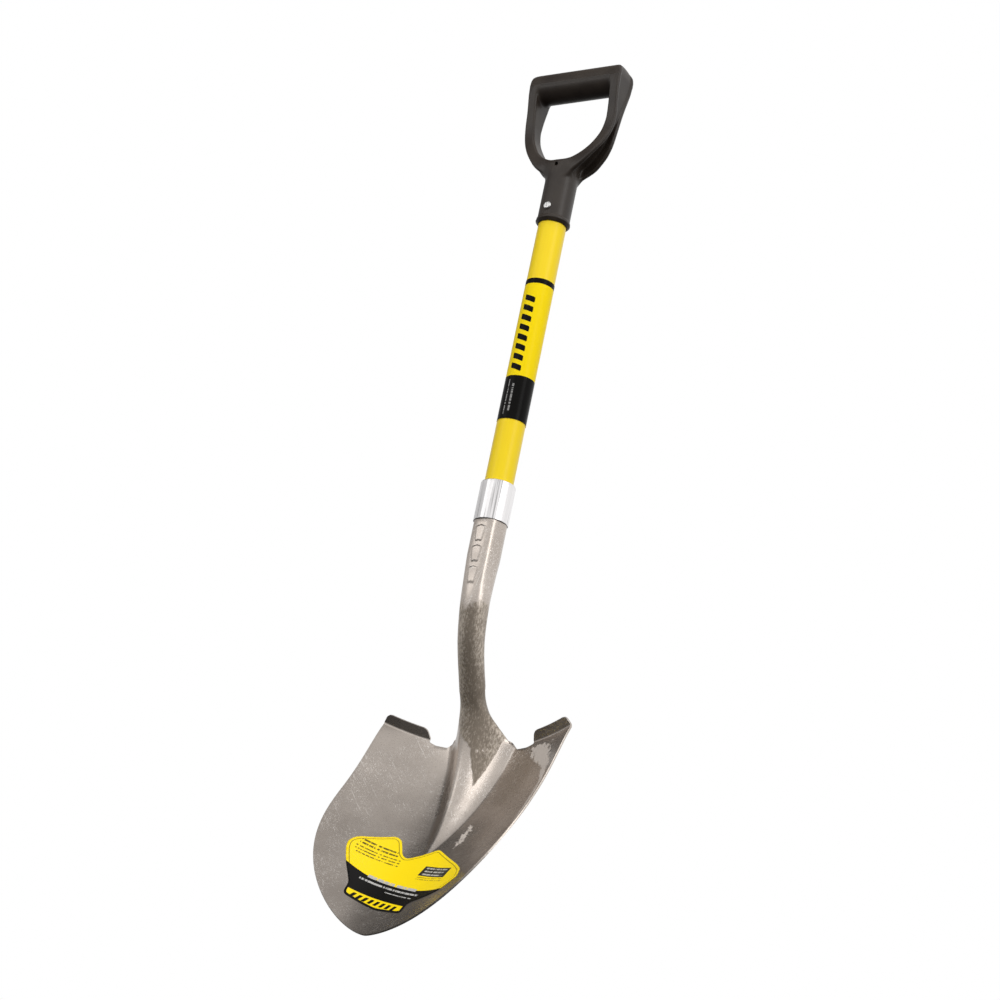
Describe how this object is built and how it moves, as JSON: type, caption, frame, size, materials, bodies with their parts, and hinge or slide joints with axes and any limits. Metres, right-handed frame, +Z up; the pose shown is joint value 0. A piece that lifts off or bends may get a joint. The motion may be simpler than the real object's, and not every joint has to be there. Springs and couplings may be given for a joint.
{
  "type": "round point shovel",
  "caption": "Round point digging shovel with a forged steel blade, closed socket, straight fibreglass tube handle and a moulded D-grip.",
  "frame": {"origin": "middle of the grip's cross bar, where a hand or a hook holds the shovel", "axes": "+Z runs up along the handle, -Y is the way the scoop and the label face, and +X is to the right of someone who faces the scoop"},
  "size_m": [0.241, 0.1382, 1.0348],
  "materials": {
    "grip_plastic": "satin black moulded polypropylene",
    "handle_yellow": "gloss yellow fibreglass",
    "handle_filler": "plain sawn core",
    "handle_print": "gloss printed film, yellow and black",
    "blade_print": "gloss printed film, yellow and black",
    "bright_steel": "bright polished steel",
    "forged_steel": "clear lacquered heat-treated steel",
    "rivet_steel": "plain bright steel"
  },
  "bodies": {
    "root": {"grip": "grip_plastic", "grip_rivet": "rivet_steel", "handle_tube": "handle_yellow", "handle_core": "handle_filler", "handle_label": "handle_print", "ferrule": "bright_steel", "head": "forged_steel", "socket_rivet": "rivet_steel", "blade_label": "blade_print"}
  },
  "joints": []
}
